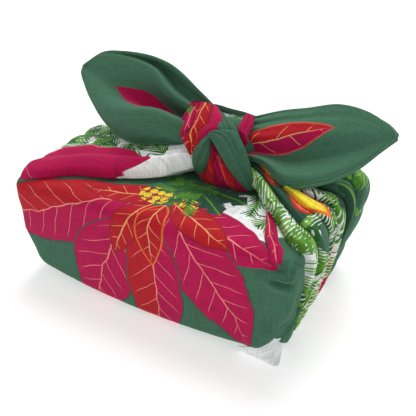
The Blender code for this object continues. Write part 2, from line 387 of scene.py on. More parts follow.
# The right edge of the front, which goes round the corner: how far along it lies at each height
Edge = namedtuple("Edge", "down along")
PANEL_RIGHT = (
    Edge(14, 96), Edge(50, 108), Edge(70, 118), Edge(76, 124), Edge(84, 133), Edge(97, 139),
    Edge(108, 139), Edge(116, 135), Edge(123, 131), Edge(128, 124), Edge(139, 116), Edge(146, 109),
    Edge(154, 101), Edge(162, 90), Edge(171, 84),
)

# Creases of the front: from one place to another on the print, how high, and how wide. A trough's
# height is below 0.
Crease = namedtuple("Crease", "u v to_u to_v height width")
CREASES = (
    Crease(82, -36, 105, -76, -2.2, 2.4),
    Crease(94, -34, 119, -68, -1.8, 2.6),
    Crease(108, -77, 112, -80, -5.4, 3.0),
    Crease(104, -80, 96, -86, -2.2, 2.4),
    Crease(106, -85, 117, -84, 4.0, 2.6),
    Crease(118, -84, 120, -76, 3.6, 2.8),
    Crease(105, -92, 117, -93, 3.0, 2.6),
    Crease(108, -88.5, 118, -88.5, -2.4, 1.8),
    Crease(122, -88, 120, -118, 3.6, 5.0),
    Crease(131, -88, 134, -110, 2.2, 3.4),
    Crease(131, -112, 127, -130, 1.8, 3.6),
    Crease(112, -104, 108, -132, -1.2, 5.0),
    Crease(100, -150, 112, -138, 0.8, 4.0),
    Crease(-20, -30, -112, -78, -0.9, 5.0),
    Crease(-30, -44, -116, -92, 0.7, 6.0),
    Crease(0, -26, -40, -60, 0.7, 3.0),
    Crease(14, -24, 2, -70, 0.6, 2.6),
    Crease(38, -22, 48, -66, 0.7, 3.0),
    Crease(52, -20, 76, -62, 0.9, 3.4),
    Crease(66, -16, 92, -66, -0.8, 3.0),
    Crease(-118, -100, -100, -150, -0.6, 7.0),
    Crease(-60, -74, -110, -140, -0.4, 9.0),
)


def creased(u, v):
    """How far the front stands out or sinks in at places on the print."""
    lift = np.zeros_like(u)
    for crease in CREASES:
        way = np.array([crease.to_u - crease.u, crease.to_v - crease.v], float)
        share = ((u - crease.u) * way[0] + (v - crease.v) * way[1]) / (way @ way)
        held = np.clip(share, 0, 1)
        away = np.hypot(u - crease.u - held * way[0], v - crease.v - held * way[1])
        fade = np.clip(1.15 - 0.6 * np.abs(2 * held - 1) ** 2, 0, 1)
        lift += crease.height * fade * np.exp(-((away / crease.width) ** 2))
    return lift


def front_panel(cotton):
    down = np.linspace(PANEL_TOP, PANEL_FOOT, PANEL_DOWN)[:, None]
    right = np.interp(-down, [e.down for e in PANEL_RIGHT], [e.along for e in PANEL_RIGHT])
    share = np.linspace(0, 1, PANEL_ALONG)[None, :]
    u = PANEL_LEFT + (right - PANEL_LEFT) * share
    v = np.broadcast_to(down, u.shape)
    from_edge = (1 - share) * (right - PANEL_LEFT)
    hem = np.exp(-((from_edge / EDGE_ROLL_WIDTH) ** 2)) * np.clip((-down - 70) / 14, 0, 1)
    places = np.stack([u, v, 0 * u], axis=-1)
    uneven = SWELL_HEIGHT * rough(places, SWELL_SIZE) + RIPPLE_HEIGHT * rough(places, RIPPLE_SIZE, 5.0)
    lift = PANEL_LIFT + creased(u, v) + uneven
    near_foot = np.clip((v - PANEL_FOOT) / 12, 0, 1)
    points = skin_at(u, v, 0.5 + (lift + EDGE_ROLL * hem) * near_foot)
    points[..., 2] = np.maximum(points[..., 2], 0.5)
    mesh = grid_mesh("front_panel", points, np.stack([u, v], axis=-1))
    piece = finish_cloth(mesh, "front_panel", cotton)
    thicken(piece, CLOTH_THICKNESS)
    return piece


# The corner of cloth that shows at the foot, under the front: its upper edge, its middle and its
# lower edge, each from left to right round the corner
Spot = namedtuple("Spot", "x y z")
FLAP = (
    (
        Spot(84, -74.0, 6), Spot(90, -74.0, 8), Spot(97, -73.0, 11),
        Spot(103, -71.0, 14), Spot(107, -66, 16), Spot(109, -58, 18),
    ),
    (
        Spot(84, -73.4, 3), Spot(91, -73.8, 4), Spot(99, -73.4, 5.5),
        Spot(107, -72.0, 6), Spot(110, -66, 7), Spot(110, -56, 9),
    ),
    (
        Spot(85, -71.6, 0.6), Spot(92, -72.2, 0.5), Spot(102, -73.0, 0.5),
        Spot(114, -73.4, 0.4), Spot(113, -64, 0.4), Spot(110, -54, 0.6),
    ),
)
FLAP_ALONG, FLAP_DOWN = 40, 18
FLAP_UNEVEN = 0.25


def foot_flap(cotton):
    rows = np.array(FLAP, float)
    across = np.stack([smooth(row, np.linspace(0, 1, FLAP_ALONG)) for row in rows])
    points = smooth(across, np.linspace(0, 1, FLAP_DOWN))
    points = points + FLAP_UNEVEN * rough(points, 6.0)[..., None] * [0, -1, 0]
    points[..., 2] = np.maximum(points[..., 2], 0.4)
    prints = np.stack([points[..., 0], -lengths(points, 0)], axis=-1)
    mesh = grid_mesh("foot_flap", points[::-1], prints[::-1])
    piece = finish_cloth(mesh, "foot_flap", cotton)
    thicken(piece, CLOTH_THICKNESS)
    return piece


# The knot

# Straps bulge away from one of these places
STRAPS_FACE_FROM = np.array([25.0, 45.0, 85.0])
PARCEL_MIDDLE = np.array([60.0, 0.0, 45.0])

KNOT_MIDDLE = np.array([33.0, 9.0, 117.0])
KNOT_CORE = np.array([22.0, 17.0, 26.0])
CORE_STEPS, CORE_ROUND = 24, 32
STRAP_UNDERSIDE = 5.0
STRAP_STEPS, STRAP_ROUND = 64, 110
STRAP_PRINT = 1.3

# A section of a strap: its two edges, and how far it stands out between them
Strap = namedtuple("Strap", "left_x left_y left_z right_x right_y right_z crown")

# A wrinkle along a strap: its place from -1 at the strap's left edge to 1 at its right, how high it
# stands in millimetres (below 0 it is a groove), and its width as a share of half the strap's
Wrinkle = namedtuple("Wrinkle", "at depth width")
DEEP_WRINKLES = (
    Wrinkle(-0.76, -3.4, 0.08), Wrinkle(-0.5, -4.2, 0.09), Wrinkle(-0.2, -4.0, 0.08),
    Wrinkle(0.14, -2.0, 0.07), Wrinkle(0.5, -4.0, 0.09),
)
FANNED_WRINKLES = (Wrinkle(-0.5, -2.4, 0.12), Wrinkle(-0.08, -3.4, 0.1), Wrinkle(0.42, -3.2, 0.1))
FINE_WRINKLES = (Wrinkle(-0.45, -1.0, 0.14), Wrinkle(0.05, -1.4, 0.1), Wrinkle(0.55, -1.2, 0.14))
TUCK_WRINKLES = (Wrinkle(0.1, -1.4, 0.2),)

STRAPS = {
    "left_turn": (
        Strap(-4, 18, 145, 17, 18, 146, 5),
        Strap(-8, 10, 138, 27, 6, 143, 7),
        Strap(-8, 2, 130, 31, -3, 138, 8),
        Strap(-3, -4, 124, 25, -9, 134, 8),
        Strap(5, -8, 119, 20, -12, 128, 6),
        Strap(9, -9, 114, 17, -13, 120, 4),
    ),
    "right_turn": (
        Strap(23, -10, 133, 27, -8, 138, 4),
        Strap(29, -13, 131, 37, -7, 140, 5),
        Strap(36, -16, 125, 46, -8, 140, 6),
        Strap(44, -17, 115, 55, -11, 129, 6),
        Strap(51, -14, 105, 60, -9, 113, 6),
        Strap(57, -8, 95, 62, -4, 98, 4),
    ),
    "top_turn": (
        Strap(9, 16, 141, 19, 18, 143, 4),
        Strap(14, 5, 137, 31, 10, 141, 5),
        Strap(20, -3, 135, 42, 1, 139, 5),
        Strap(26, -8, 132, 47, -4, 135, 3),
    ),
    "small_loop": (
        Strap(24, -9, 135, 27, -11, 131, 3),
        Strap(19, -12, 130, 28, -14, 125, 5),
        Strap(14, -13, 121, 28, -16, 119, 6),
        Strap(12, -12, 111, 25, -15, 111, 5),
        Strap(13, -8, 102, 21, -10, 103, 4),
    ),
    "front_fan": (
        Strap(23, -9, 130, 26, -9, 131, 2),
        Strap(23, -11, 121, 35, -12, 121, 4),
        Strap(20, -11, 109, 44, -13, 112, 5),
        Strap(14, -8, 99, 53, -12, 103, 5),
        Strap(19, -6, 92, 58, -6, 94, 4),
    ),
    "rear_fold": (
        Strap(-9, 21, 126, -5, 27, 142, 4),
        Strap(8, 25, 122, 7, 33, 142, 5),
        Strap(21, 27, 122, 19, 35, 140, 6),
        Strap(33, 25, 124, 33, 33, 140, 5),
        Strap(43, 21, 126, 45, 29, 140, 4),
    ),
    "rear_roll": (
        Strap(41, 18, 144, 49, 16, 144, 3),
        Strap(41, 10, 141, 51, 8, 140, 4),
        Strap(42, 2, 138, 51, -1, 135, 4),
        Strap(48, -4, 135, 54, -6, 131, 4),
    ),
    "corner_tuck": (
        Strap(80, -27, 94, 86, -31, 95, 2),
        Strap(86, -41, 92, 95, -43, 93, 3.5),
        Strap(91, -55, 91, 102, -56, 92, 4.5),
        Strap(98, -66, 90.5, 109, -65, 91.5, 5),
        Strap(104, -74, 88, 112, -73, 89, 3),
    ),
}


def strap_points(rows, wrinkles, face_from):
    """One turn of the knot, with wrinkles along it: places across, depths and widths."""
    share = spread(STRAP_STEPS, 1.0)[:, None]
    angle = np.linspace(0, 2 * math.pi, STRAP_ROUND, endpoint=False)[None, :]
    row = section(rows, share)
    left = np.stack([row.left_x, row.left_y, row.left_z], axis=-1)
    right = np.stack([row.right_x, row.right_y, row.right_z], axis=-1)
    middle, half = (left + right) / 2, (right - left) / 2
    way = unit(np.gradient(middle, axis=0))
    sideways = unit(half - (half * way).sum(-1, keepdims=True) * way)
    outward = np.cross(sideways, way)
    facing = ((middle - face_from) * outward).sum(-1, keepdims=True)
    outward = outward * np.sign(facing)
    end = np.sqrt(np.maximum(0, 1 - (2 * share - 1) ** 2))
    taper = np.minimum(1, 2.5 * end) * 0.98 + 0.02
    over, out = np.cos(angle), np.sin(angle)
    height = out * np.where(out > 0, row.crown, np.minimum(row.crown, STRAP_UNDERSIDE))
    for at, depth, width in wrinkles:
        bend = at + 0.12 * np.sin(3 * share + 5 * at)
        groove = np.exp(-(((over - bend) / width) ** 2)) * np.maximum(0, out) ** 0.3
        height = height + depth * groove * np.sin(math.pi * np.clip(share, 0, 1)) ** 0.4
    points = middle + half * (over * taper)[..., None] + outward * (height * taper)[..., None]
    run = np.broadcast_to(lengths(middle, 0), points.shape[:2])
    width = np.linalg.norm(half, axis=-1)
    prints = np.stack([run, width * over * STRAP_PRINT], axis=-1)
    return points, prints


def strap(name, wrinkles, cotton, face_from=STRAPS_FACE_FROM):
    points, prints = strap_points(STRAPS[name], wrinkles, face_from)
    mesh = grid_mesh(name, points, prints, ring=True)
    middle = Vector(points.mean(axis=(0, 1)) * MM)
    if sum((face.center - middle).dot(face.normal) for face in mesh.polygons) < 0:
        mesh.flip_normals()
    return finish_cloth(mesh, name, cotton)


def knot_inside(cotton):
    """The cloth deep in the knot, seen only between its turns."""
    share = np.linspace(0.02, 0.98, CORE_STEPS)[:, None] * math.pi
    angle = np.linspace(0, 2 * math.pi, CORE_ROUND, endpoint=False)[None, :]
    ring = np.sin(share)
    ball = np.stack([ring * np.cos(angle), ring * np.sin(angle), np.cos(share) + 0 * angle], axis=-1)
    points = KNOT_MIDDLE + ball * KNOT_CORE
    mesh = grid_mesh("knot_inside", points, points[..., :2], ring=True)
    return finish_cloth(mesh, "knot_inside", cotton)


# The ears

Fold = namedtuple("Fold", "across out")

LEFT_EAR = {
    "root": np.array([2.0, 14.0, 126.0]),
    "yaw": 180.0,
    "lean": 35.0,
    "stations": (-18, 26, 53, 85, 111, 127, 132),
    "folds": (
        Fold((-14, -19, -24, -13, 6, 22, 29), (0, 4, 5, 4, 2, 0, 0)),
        Fold((-10, -12, -13, -4, 13, 26, 31), (3, 16, 19, 12, 6, 2, 0)),
        Fold((-5, 4, 3, 8, 21, 30, 33), (3, 23, 22, 10, 4, 2, 0)),
        Fold((0, 9, 13, 21, 30, 34, 34), (0, -10, -10, -4, -1, 0, 0)),
        Fold((5, 21, 38, 45, 45, 37.5, 34), (2, 10, 8, 4, 2, 1, 0)),
        Fold((10, 30, 45, 50, 48.5, 38.5, 34.5), (0, -5, -4, 0, 1, 0, 0)),
        Fold((14, 41, 50, 53, 50.5, 40, 35), (0, 6, 6, 3, 1, 0, 0)),
    ),
}

RIGHT_EAR = {
    "root": np.array([44.0, 10.0, 126.0]),
    "yaw": 10.0,
    "lean": 35.0,
    "stations": (-16, 18, 40, 62, 84, 98, 107),
    "folds": (
        Fold((-15, -16, -31, -27, -13, 4, 15), (2, 6, 10, 10, 6, 3, 2)),
        Fold((-10, -13, -22, -19, -6, 8, 15.5), (3, 13, 16, 14, 8, 4, 2)),
        Fold((-5, -7, -6, 0, 7, 12, 16), (0, 2, 0, 1, 3, 3, 2)),
        Fold((0, 4, 9, 13, 16, 16, 16.5), (2, 11, 11, 8, 6, 3, 2)),
        Fold((7, 17, 22, 27, 26, 20, 17), (1, 4, 5, 4, 4, 3, 2)),
        Fold((13, 26, 31, 36, 32, 23, 17.5), (-3, -2, 0, 1, 2, 2, 2)),
        Fold((8, 17, 24, 31, 31, 26, 18.5), (-8, -12, -11, -8, -4, -1, 1)),
    ),
}

EAR_STEPS, EAR_ROUND = 100, 130

# Gathers of an ear near the knot: how high they are, and how soon they run out
GATHERS_HEIGHT, GATHERS_REACH = 1.2, 35


def ear_points(shape):
    """The grid of a free corner of the square, and its print."""
    yaw, lean = math.radians(shape["yaw"]), math.radians(shape["lean"])
    along = np.array([math.cos(yaw), math.sin(yaw), 0])
    up = np.array([0, math.sin(lean), math.cos(lean)])
    out = np.cross(along, up)
    if out[2] < 0:
        out = -out
    share = spread(EAR_STEPS, 0.8)[:, None]
    over = spread(EAR_ROUND, 0.9)[None, :]
    across_lines = np.stack([smooth(fold.across, share[:, 0]) for fold in shape["folds"]])
    out_lines = np.stack([smooth(fold.out, share[:, 0]) for fold in shape["folds"]])
    across = np.stack([smooth(line, over[0]) for line in across_lines.T])
    lift = np.stack([smooth(line, over[0]) for line in out_lines.T])
    distance = smooth(shape["stations"], share)
    near = np.exp(-np.maximum(0, distance) / GATHERS_REACH)
    lift = lift + GATHERS_HEIGHT * near * np.sin(over * 46 + 1.7 * np.sin(over * 9))
    points = (
        shape["root"]
        + along * distance[..., None]
        + up * across[..., None]
        + out * lift[..., None]
    )
    away = hem_distance(points)
    prints = np.stack([np.broadcast_to(distance, away.shape), 100 * over + 0 * away, away], axis=-1)
    return points, prints


def hem_distance(points):
    """How far each point of an ear lies from its nearest sewn edge."""
    run, width = lengths(points, 0), lengths(points, 1)
    return np.minimum(np.minimum(width, width[:, -1:] - width), run[-1:] - run)


def ear(name, shape, cotton):
    points, prints = ear_points(shape)
    mesh = grid_mesh(name, points, prints)
    piece = finish_cloth(mesh, name, cotton)
    away = hem_distance(points)
    hem = np.clip((HEM_WIDTH - away) / 0.35, 0, 1)
    thin = CLOTH_THICKNESS / HEM_THICKNESS
    thicken(piece, HEM_THICKNESS, (thin + (1 - thin) * hem).ravel())
    return piece


# Shader maths

class Paint:
    """A socket of a material. Arithmetic on it adds Math nodes, and node() adds any other."""

    def __init__(self, tree, socket):
        self.tree, self.socket = tree, socket

    def node(self, kind, settings=None, inputs=None, output=0):
        made = self.tree.nodes.new("ShaderNode" + kind)
        for name, value in (settings or {}).items():
            setattr(made, name, value)
        for name, value in (inputs or {}).items():
            if isinstance(value, Paint):
                self.tree.links.new(value.socket, made.inputs[name])
            else:
                made.inputs[name].default_value = value
        return Paint(self.tree, made.outputs[output])

    def math(self, operation, *others):
        return self.node("Math", {"operation": operation}, dict(enumerate([self, *others])))

    def __add__(self, other):
        return self.math("ADD", other)

    __radd__ = __add__

    def __sub__(self, other):
        return self.math("SUBTRACT", other)

    def __rsub__(self, other):
        return self.node("Math", {"operation": "SUBTRACT"}, {0: other, 1: self})

    def __mul__(self, other):
        return self.math("MULTIPLY", other)

    __rmul__ = __mul__

    def __truediv__(self, other):
        return self.math("DIVIDE", other)

    def __rtruediv__(self, other):
        return self.node("Math", {"operation": "DIVIDE"}, {0: other, 1: self})

    def __abs__(self):
        return self.math("ABSOLUTE")

    def __pow__(self, other):
        return self.math("POWER", other)

    def floor(self):
        return self.math("FLOOR")

    def part(self):
        return self.math("FRACT")

    def sin(self):
        return self.math("SINE")

    def cos(self):
        return self.math("COSINE")

    def most(self, other):
        return self.math("MAXIMUM", other)

    def vector(self, operation, other):
        """Vector Math with another vector."""
        return self.node("VectorMath", {"operation": operation}, {0: self, 1: other})

    def held(self):
        """Clamped between 0 and 1."""
        return self.node("Clamp", None, {"Value": self})

    def ramp(self, low, high):
        """0 at low and 1 at high, smooth between them and level beyond."""
        limits = {"Value": self, "From Min": low, "From Max": high}
        return self.node("MapRange", {"interpolation_type": "SMOOTHSTEP"}, limits)

    def choose(self, under, over):
        """The colour under where this is 0, and the one over it where this is 1."""
        return self.node("Mix", {"data_type": "RGBA"}, {"Factor": self, 6: under, 7: over}, 2)

    def apart(self):
        """The first two parts of a vector or colour."""
        made = self.tree.nodes.new("ShaderNodeSeparateXYZ")
        self.tree.links.new(self.socket, made.inputs[0])
        return Paint(self.tree, made.outputs[0]), Paint(self.tree, made.outputs[1])


def srgb(red, green, blue):
    """A colour given in the usual 0 to 255 steps, as shaders take it."""
    def step(c):
        c = c / 255
        return c / 12.92 if c <= 0.04045 else ((c + 0.055) / 1.055) ** 2.4
    return (step(red), step(green), step(blue), 1.0)


GREEN = srgb(60, 105, 80)
# The ears' ground is the cloth's own green painted lighter: painted light on the ears, which face the
# overhead light
LIT_EAR_GREEN = srgb(68, 114, 88)
DEEP_GREEN = srgb(34, 66, 50)
WHITE = srgb(236, 240, 240)
MAGENTA = srgb(178, 0, 74)
DEEP_RED = srgb(120, 16, 36)
RED = srgb(178, 18, 32)
CORAL = srgb(216, 86, 62)
ORANGE = srgb(226, 112, 40)
CRIMSON = srgb(150, 20, 44)
PINK = srgb(224, 110, 130)
YELLOW = srgb(242, 220, 56)
VEIN = srgb(238, 146, 128)
PALE_VEIN = srgb(238, 170, 110)
FIR = srgb(86, 146, 40)
FIR_LIGHT = srgb(128, 178, 76)
FIR_DARK = srgb(40, 96, 44)
HOLLY = srgb(38, 76, 56)

# How the print is drawn. Widths and pitches are in millimetres.
WOBBLE_SCALE = 0.05
LEAF_FULLNESS = 3.34
RIM_OUTER, RIM_INNER = 1.1, 2.3
VEIN_SLANT, VEIN_WIDTH = 0.85, 0.27
MIDRIB_OUTER, MIDRIB_INNER = 0.75, 0.25
NEEDLE_PITCH, NEEDLE_SLANT = 3.5, 1.25
BERRY_PITCH = 7.2

# The hem's stitches on the ears
STITCH_LENGTH, STITCH_INSET = 2.6, 0.5
STITCH_THREAD = srgb(120, 160, 138)

# The weave: threads to a millimetre, how fast a slub changes along its thread, the fine grain, and
# the slow unevenness of the dye
THREADS, SLUB_CHANGE, FINE_GRAIN, DYE_CHANGE = 1.0, 0.06, 2.6, 0.035

# A bract or leaf of the print: where its base lies, which way it points in degrees, its length and
# half its width in millimetres, how far it bends, its colours on either side of its midrib, the
# colour of its rim and of its veins, and how many pairs of veins it has
Bract = namedtuple("Bract", "u v angle length half_width bend colour other rim vein pairs")


class Cotton:
    """The printed square: u and v are places on it in millimetres, and colour is what is printed."""

    def __init__(self, name, ground=GREEN):
        self.made = bpy.data.materials.new(name)
        self.made.use_nodes = True
        tree = self.made.node_tree
        self.place = Paint(tree, None).node("Attribute", {"attribute_name": "on_print"}, None, 1)
        self.u, self.v = self.place.apart()
        waves = {"Vector": self.place, "Scale": WOBBLE_SCALE, "Detail": 1.0}
        self.wobble_u, self.wobble_v = self.place.node("TexNoise", None, waves, 1).apart()
        self.colour = ground

    def line(self, along, across, start):
        """along times u, plus across times v, plus start."""
        return self.u * along + (self.v * across + start)

    def near(self, u, v, reach_u, reach_v, soft=0.025):
        """1 inside an uneven round patch of the print."""
        du = (self.u - u) / reach_u
        dv = (self.v - v) / reach_v
        away = (du * du + dv * dv) ** 0.5 + (self.wobble_u - 0.5) * 0.7
        return away.ramp(1 + soft, 1 - soft)

    def paint(self, mask, colour):
        self.colour = mask.choose(self.colour, colour)

    def bract(self, b):
        angle = math.radians(b.angle)
        c, s = math.cos(angle), math.sin(angle)
        start = b.u * c + b.v * s
        along = self.line(c / b.length, s / b.length, -start / b.length).held()
        start = -b.u * s + b.v * c
        side = self.line(-s / b.half_width, c / b.half_width, -start / b.half_width)
        side = side + (self.wobble_v - 0.5) * 0.3
        if b.bend:
            side = side + along * (1 - along) * (4 * b.bend)
        away = abs(side)
        inside = along**0.8 * (1 - along) ** 0.95 * LEAF_FULLNESS - away
        colour = b.colour if b.other == b.colour else side.ramp(-0.12, 0.12).choose(b.colour, b.other)
        if b.rim:
            rim = inside.ramp(RIM_INNER / b.half_width, RIM_OUTER / b.half_width)
            colour = rim.choose(colour, b.rim)
        if b.vein:
            slant = VEIN_SLANT * b.half_width / b.length
            rows = (along - away * slant) * b.pairs + side.ramp(-0.01, 0.01) * 0.45
            thin = VEIN_WIDTH * b.pairs / b.length
            veins = abs(rows.part() - 0.5).ramp(thin * 1.8, thin * 0.6) * inside.ramp(0.12, 0.4)
            midrib = away.ramp(MIDRIB_OUTER / b.half_width, MIDRIB_INNER / b.half_width) * (1 - along)
            veins = veins.most(midrib.ramp(0.02, 0.3)) * 0.85
            colour = veins.choose(colour, b.vein)
        outline = inside.ramp(0.01, 0.01 + 0.5 / b.half_width)
        self.colour = outline.choose(self.colour, colour)

    def leaf(self, *sizes, **looks):
        self.bract(bract(*sizes, **looks))

    def holly(self, u, v, angle, length, half_width):
        """A dark leaf with points along its edge and a pale midrib."""
        turn = math.radians(angle)
        c, s = math.cos(turn), math.sin(turn)
        along = self.line(c / length, s / length, -(u * c + v * s) / length).held()
        away = abs(self.line(-s / half_width, c / half_width, (u * s - v * c) / half_width))
        points = abs((along * 3.6).part() - 0.5) * 1.1 + 0.5
        inside = (along * (1 - along) * 4.2) ** 0.6 * points - away
        colour = away.ramp(0.5 / half_width, 1.1 / half_width).choose(FIR, HOLLY)
        self.paint(inside.ramp(0.01, 0.06), colour)

    def sprig(self, u, v, angle, length, reach, light=FIR, dark=FIR_DARK):
        """A sprig of fir: a stalk with slanted needles on both sides."""
        turn = math.radians(angle)
        c, s = math.cos(turn), math.sin(turn)
        along = self.line(c, s, -(u * c + v * s))
        side = self.line(-s, c, u * s - v * c) + (self.wobble_u - 0.5) * 6
        self.needles(along, abs(side), side, length, reach, light, dark)

    def needles(self, along, away, side, length, reach, light, dark, within=None):
        rows = (along - away * NEEDLE_SLANT) / NEEDLE_PITCH
        rows = rows + side.ramp(-0.01, 0.01) * 0.5 + (self.wobble_v - 0.5) * 0.9
        row = rows.floor()
        uneven = (row * 2.4).sin() * 0.25 + 0.75
        inside = along.ramp(-1.0, 1.0) * along.ramp(length, length - 3)
        out = (away / (uneven * reach)).held()
        needle = (0.40 - out * out * 0.30 - abs(rows.part() - 0.5)).ramp(-0.05, 0.05)
        needle = needle * out.ramp(1.0, 0.9) * inside
        stalk = away.ramp(1.1, 0.6) * inside
        mask = needle.most(stalk)
        if within is not None:
            mask = mask * within
        self.colour = mask.choose(self.colour, (row * 5.1).sin().ramp(-0.4, 0.6).choose(dark, light))

    def fir_field(self, within=None, size=26.0, light=FIR, dark=FIR_DARK, shift=0.0, turned=2 * math.pi):
        """Sprigs of fir, one in each cell of an uneven net, lying every way or turned up to an angle."""
        moved = self.place.vector("ADD", (shift, shift * 0.7, 0))
        net = {"Vector": moved, "Scale": 1 / size, "Randomness": 0.85}
        cell = self.place.node("TexVoronoi", {"voronoi_dimensions": "2D"}, net, 2)
        cell_colour = self.place.node("TexVoronoi", {"voronoi_dimensions": "2D"}, net, 1)
        turn = cell_colour.apart()[0] * turned - turned / 2
        du, dv = moved.vector("SUBTRACT", cell).apart()
        c, s = turn.cos(), turn.sin()
        along = du * c + dv * s + 0.7 * size
        side = dv * c - du * s
        self.needles(along, abs(side), side, 1.5 * size, 0.46 * size, light, dark, within)

    def berries(self, u, v, reach_u, reach_v):
        """A cluster of round yellow berries with red rings."""
        net = {"Vector": self.place, "Scale": 1 / BERRY_PITCH, "Randomness": 0.35}
        away = self.place.node("TexVoronoi", {"voronoi_dimensions": "2D"}, net, 0)
        within = self.near(u, v, reach_u, reach_v, 0.03)
        self.paint(away.ramp(0.52, 0.46) * within, HOLLY)
        self.paint(away.ramp(0.44, 0.40) * within, YELLOW)
        self.paint((away.ramp(0.29, 0.26) - away.ramp(0.23, 0.20)) * within, CORAL)

    def finish(self, roughness=0.86, slub=1.0):
        """Adds the threads: uneven ones both ways, in the colour, the roughness and the relief."""
        place = self.place

        def threads(u_scale, v_scale, detail):
            stretched = place.vector("MULTIPLY", (u_scale, v_scale, 1))
            return place.node("TexNoise", None, {"Vector": stretched, "Scale": 1.0, "Detail": detail}, 0)

        warp = threads(THREADS, SLUB_CHANGE, 1.0)
        weft = threads(SLUB_CHANGE, THREADS, 1.0)
        fine = threads(FINE_GRAIN, FINE_GRAIN, 1.0)
        worn = threads(DYE_CHANGE, DYE_CHANGE, 3.0)
        relief = warp * 0.45 + weft * 0.55 + fine * 0.35
        shade = (relief - 0.675) * (1.3 * slub) + (worn - 0.5) * 0.18 + 1.0
        shader = self.made.node_tree.nodes["Principled BSDF"]
        mixed = {"Factor": 1.0, 6: self.colour, 7: shade}
        tinted = place.node("Mix", {"data_type": "RGBA", "blend_type": "MULTIPLY"}, mixed, 2)
        links = self.made.node_tree.links
        links.new(tinted.socket, shader.inputs["Base Color"])
        rough_paint = relief * 0.14 + (roughness - 0.09)
        links.new(rough_paint.socket, shader.inputs["Roughness"])
        bump = place.node("Bump", None, {"Strength": 0.6 * slub, "Distance": 0.0005, "Height": relief})
        links.new(bump.socket, shader.inputs["Normal"])
        shader.inputs["Specular IOR Level"].default_value = 0.25
        shader.inputs["Sheen Weight"].default_value = 0.04
        return self.made


def bract(
    u, v, angle, length, half_width, bend=0.0, colour=MAGENTA, other=None, rim=None, vein=VEIN, pairs=8
):
    """A bract with the usual veins, of one colour unless another is given for its other half."""
    return Bract(u, v, angle, length, half_width, bend, colour, other or colour, rim, vein, pairs)


def flower_print():
    """The front: one large flower with berries, fir and holly on green."""
    c = Cotton("flower_print")
    c.fir_field(c.near(-30, -20, 80, 20), 26.0)
    c.paint(c.near(82, -30, 34, 30).most(c.near(132, -161, 27, 14)), WHITE)
    c.sprig(104, -12, 236, 44, 10)
    c.sprig(66, -8, 284, 34, 8)
    c.leaf(14, -48, 342, 102, 20, 0.10, MAGENTA, pairs=7)
    c.leaf(6, -50, 203, 172, 32, -0.08, RED, MAGENTA, rim=HOLLY, pairs=10)
    c.leaf(-7, -77, 249, 112, 31, 0.2, MAGENTA, rim=HOLLY, pairs=7)
    c.leaf(21, -58, 308, 125, 28, -0.1, MAGENTA, rim=HOLLY, pairs=8)
    c.leaf(9, -68, 274, 128, 26, -0.08, RED, MAGENTA, rim=HOLLY, pairs=8)
    c.leaf(12, -46, 194, 68, 13, 0.1, RED, rim=CRIMSON, vein=PALE_VEIN, pairs=5)
    c.leaf(14, -48, 335, 70, 14, 0.1, RED, rim=CRIMSON, vein=PALE_VEIN, pairs=5)
    c.leaf(5, -57, 245, 60, 13, 0.12, RED, rim=CRIMSON, vein=PALE_VEIN, pairs=5)
    c.leaf(13, -54, 271, 56, 13, 0.1, RED, rim=ORANGE, vein=PALE_VEIN, pairs=5)
    c.holly(28, -20, 350, 38, 12)
    c.holly(26, -26, 322, 36, 11)
    c.sprig(20, -28, 158, 46, 9)
    c.berries(1, -46, 14, 10)
    c.berries(27, -47, 9, 7)
    c.sprig(34, -20, 236, 30, 9)
    c.sprig(20, -20, 262, 34, 8)
    c.sprig(24, -38, 300, 26, 7)
    return c.finish()


def left_band_print():
    """White ground with fir, and one bract along the front."""
    c = Cotton("left_band_print", WHITE)
    c.fir_field(c.near(92, 14, 66, 60, 0.02), 30.0, light=FIR, dark=FIR_DARK)
    c.fir_field(c.near(90, 14, 62, 60, 0.02), 27.0, shift=31.0)
    c.fir_field(c.near(90, 20, 66, 60, 0.02), 25.0, shift=13.0)
    c.paint(c.near(150, -62, 30, 24), MAGENTA)
    c.leaf(138, -62, 161, 86, 32, 0.0, MAGENTA, rim=PINK, vein=None)
    c.leaf(112, -40, 169, 76, 15, 0.0, MAGENTA, vein=None)
    c.paint(c.near(122, 54, 22, 11), MAGENTA)
    c.paint(c.near(190, 0, 50, 120), GREEN)
    return c.finish()


def right_band_print():
    """The pleats: each shows another part of the print."""
    c = Cotton("right_band_print", WHITE)
    p = PLEAT_PRINT
    c.fir_field(None, 30.0, turned=1.0)
    c.fir_field(None, 24.0, shift=31.0, light=FIR_LIGHT, dark=FIR, turned=1.6)
    c.paint(c.near(158, 4, 26, 14), GREEN)
    c.paint(c.near(32, p + 4, 32, 12), HOLLY)
    c.leaf(12, p + 6, 6, 28, 7, 0.0, CORAL, rim=RED, vein=PALE_VEIN, pairs=4)
    c.leaf(40, p + 7, 8, 30, 7, 0.0, CORAL, rim=RED, vein=PALE_VEIN, pairs=4)
    c.paint(c.near(84, p + 6, 12, 6), GREEN)
    c.paint(c.near(34, 2 * p + 6, 34, 14), HOLLY)
    c.leaf(6, 2 * p + 2, 1, 72, 6, 0.0, YELLOW, rim=ORANGE, vein=None)
    c.leaf(10, 2 * p + 9, -2, 60, 4, 0.0, MAGENTA, rim=DEEP_RED, vein=None)
    c.leaf(106, 2 * p + 9, 0, 60, 8, 0.0, CORAL, rim=None, vein=VEIN, pairs=4)
    c.holly(52, 3 * p + 12, 0, 86, 11)
    c.paint(c.near(60, 4 * p + 8, 30, 12), GREEN)
    c.holly(66, 4 * p + 3, 0, 64, 8)
    c.paint(c.near(92, 5 * p + 8, 90, 24, 0.02), GREEN)
    c.fir_field(c.near(60, 5 * p + 10, 46, 30), 26.0, shift=9.0, light=FIR_LIGHT, dark=FIR)
    c.leaf(118, 4 * p + 10, 20, 40, 9, 0.0, YELLOW, vein=None)
    c.leaf(126, 3 * p + 6, 10, 44, 9, 0.0, MAGENTA, vein=VEIN, pairs=4)
    return c.finish()


